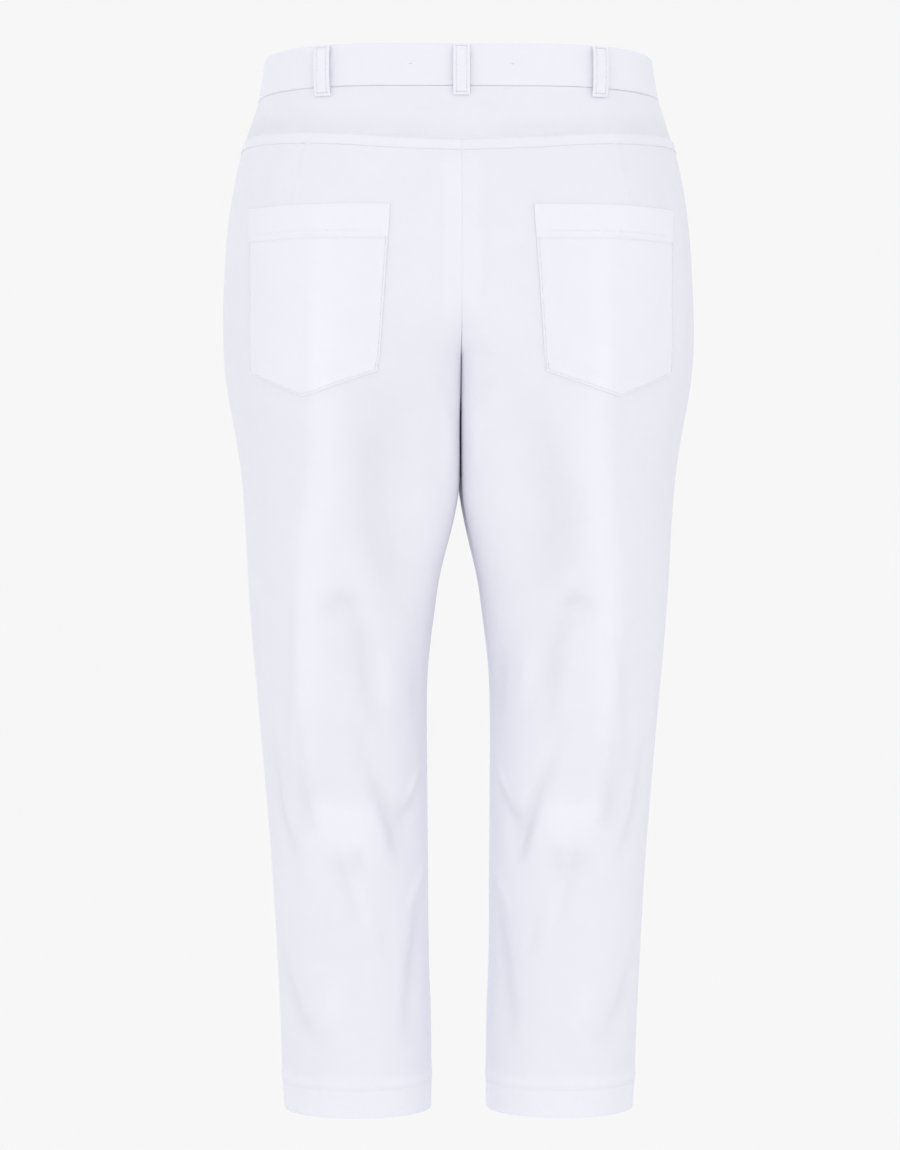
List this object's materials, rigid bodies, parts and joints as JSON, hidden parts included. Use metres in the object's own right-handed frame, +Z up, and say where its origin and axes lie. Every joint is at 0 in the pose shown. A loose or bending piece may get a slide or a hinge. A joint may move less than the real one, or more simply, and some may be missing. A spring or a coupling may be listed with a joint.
{
  "type": "capri trousers",
  "caption": "Filled-out capri trousers in plain cloth with a waistband, belt loops, pointed back yoke, patch pockets, front zip and straight cropped legs.",
  "frame": {"origin": "middle of the waist opening, halfway up the waistband", "axes": "+Z up, towards the waist; the front faces -Y; +X is the wearer's left"},
  "size_m": [0.3846, 0.2533, 0.8542],
  "materials": {
    "cloth": "fine white cotton twill, matt",
    "zip_tape": "white woven tape",
    "zip_metal": "satin",
    "button": "pale, soft gloss"
  },
  "bodies": {
    "root": {"front_left": "cloth", "front_right": "cloth", "back_left": "cloth", "back_right": "cloth", "back_yoke": "cloth", "waistband": "cloth", "hem_left": "cloth", "hem_right": "cloth", "pocket_left": "cloth", "pocket_right": "cloth", "belt_loop_back_centre": "cloth", "belt_loop_back_left": "cloth", "belt_loop_back_right": "cloth", "belt_loop_front_left": "cloth", "belt_loop_front_right": "cloth", "zip_tape": "zip_tape", "zip_slider": "zip_metal", "button": "button"}
  },
  "joints": []
}
